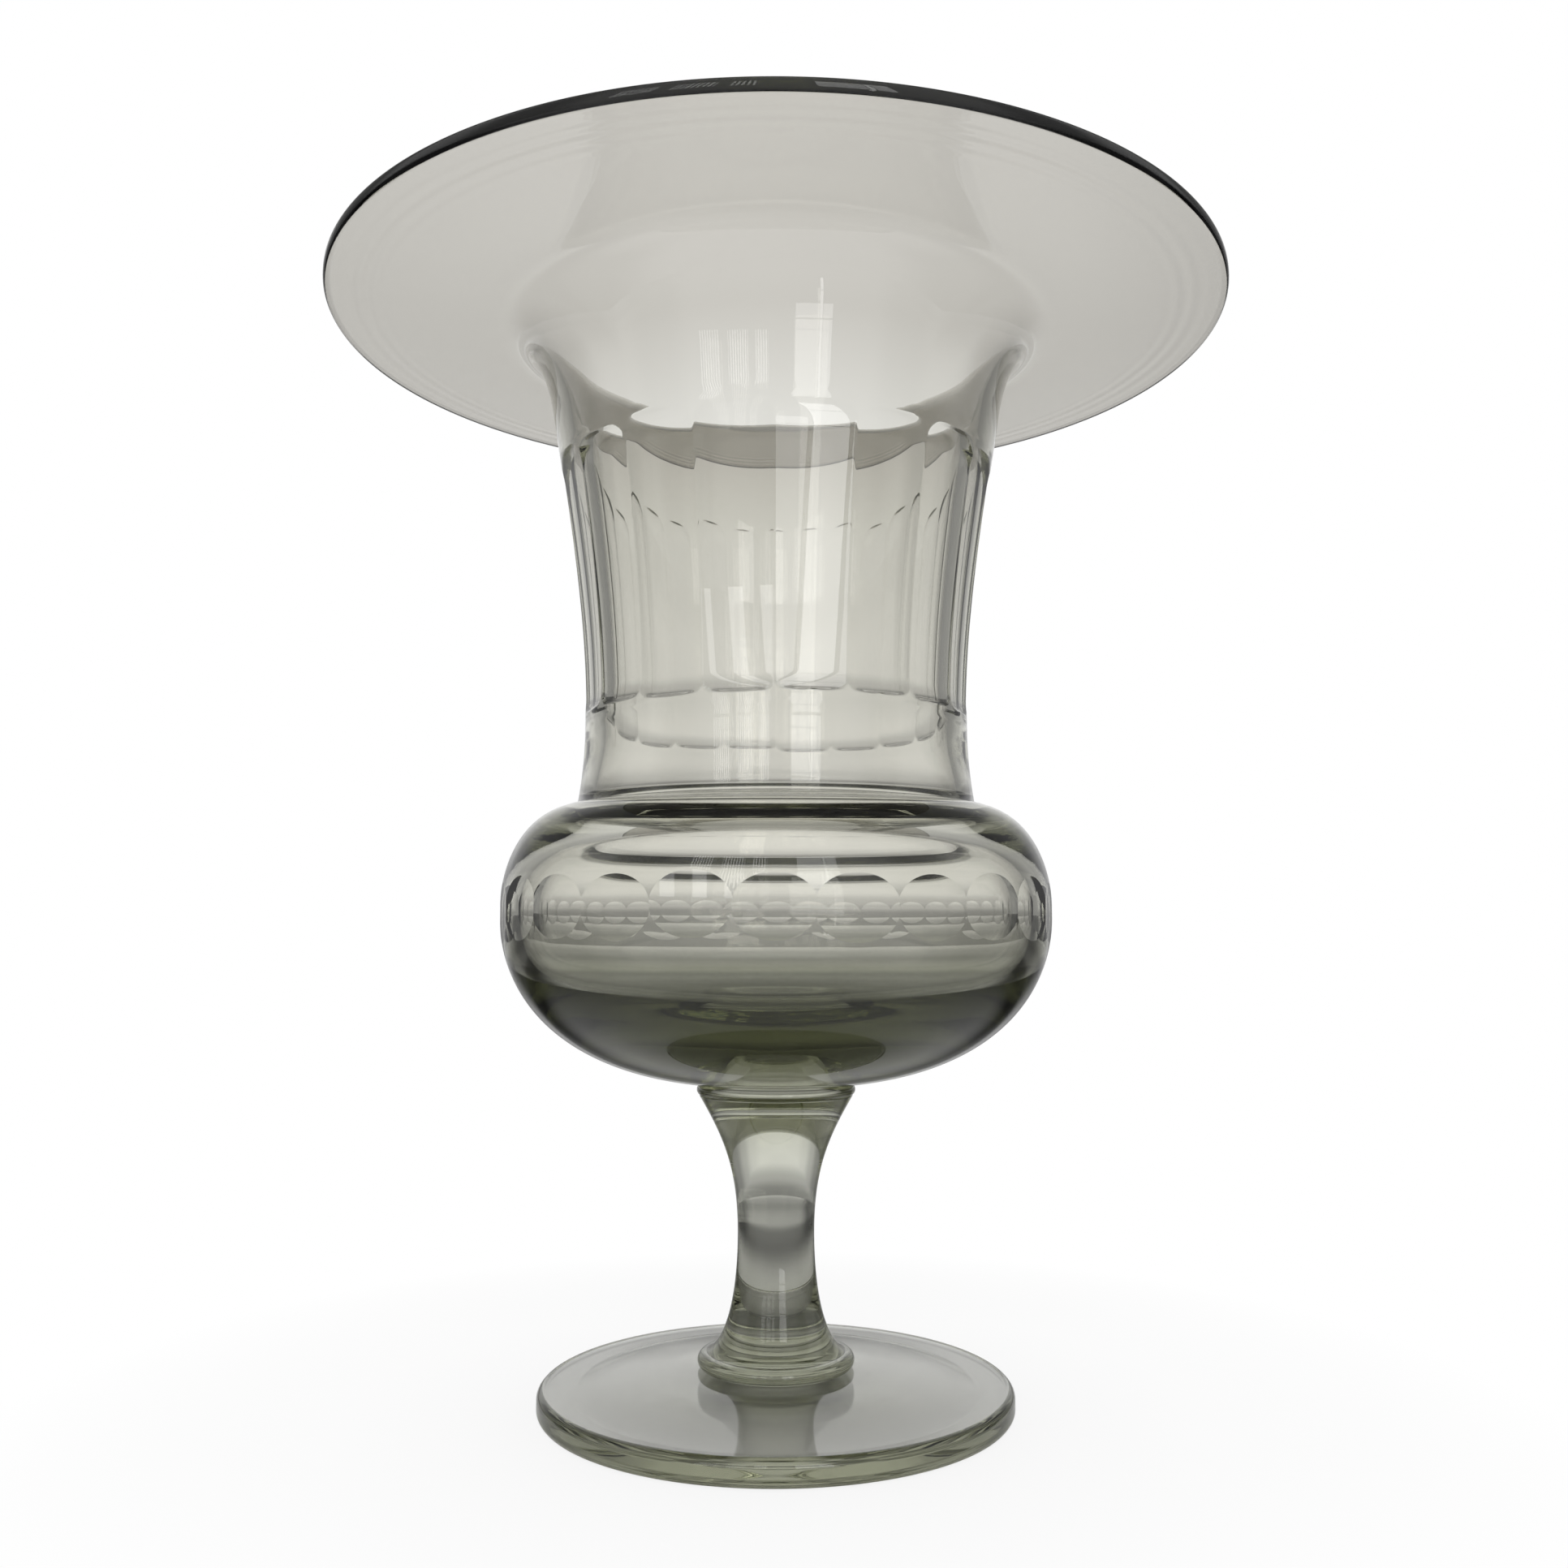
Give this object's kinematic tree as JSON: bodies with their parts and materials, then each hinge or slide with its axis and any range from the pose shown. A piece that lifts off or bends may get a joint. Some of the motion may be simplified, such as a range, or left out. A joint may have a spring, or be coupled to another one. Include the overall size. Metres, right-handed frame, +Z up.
{
  "type": "footed glass vase",
  "caption": "Clear glass footed vase: wide turned-out brim, waisted neck with flat cut flutes, round belly ringed with oval cuts, baluster stem and disc foot. Holds flowers and water.",
  "frame": {"origin": "middle of the foot's underside, on the surface that the vase stands on", "axes": "+Z up along the vase's own axis; -Y is the side the picture was taken from"},
  "size_m": [0.2668, 0.2668, 0.32],
  "materials": {
    "bowl_glass": "clear, polished, slightly grey, with flat cuts ground and polished",
    "stem_glass": "clear, solid, fire-polished",
    "wafer_glass": "clear, thick, faintly green, fire-polished",
    "foot_glass": "clear, polished, green at the thick edge"
  },
  "bodies": {
    "root": {"foot": "foot_glass", "foot_wafer": "wafer_glass", "stem": "stem_glass", "bowl_wafer": "wafer_glass", "bowl": "bowl_glass"}
  },
  "joints": []
}
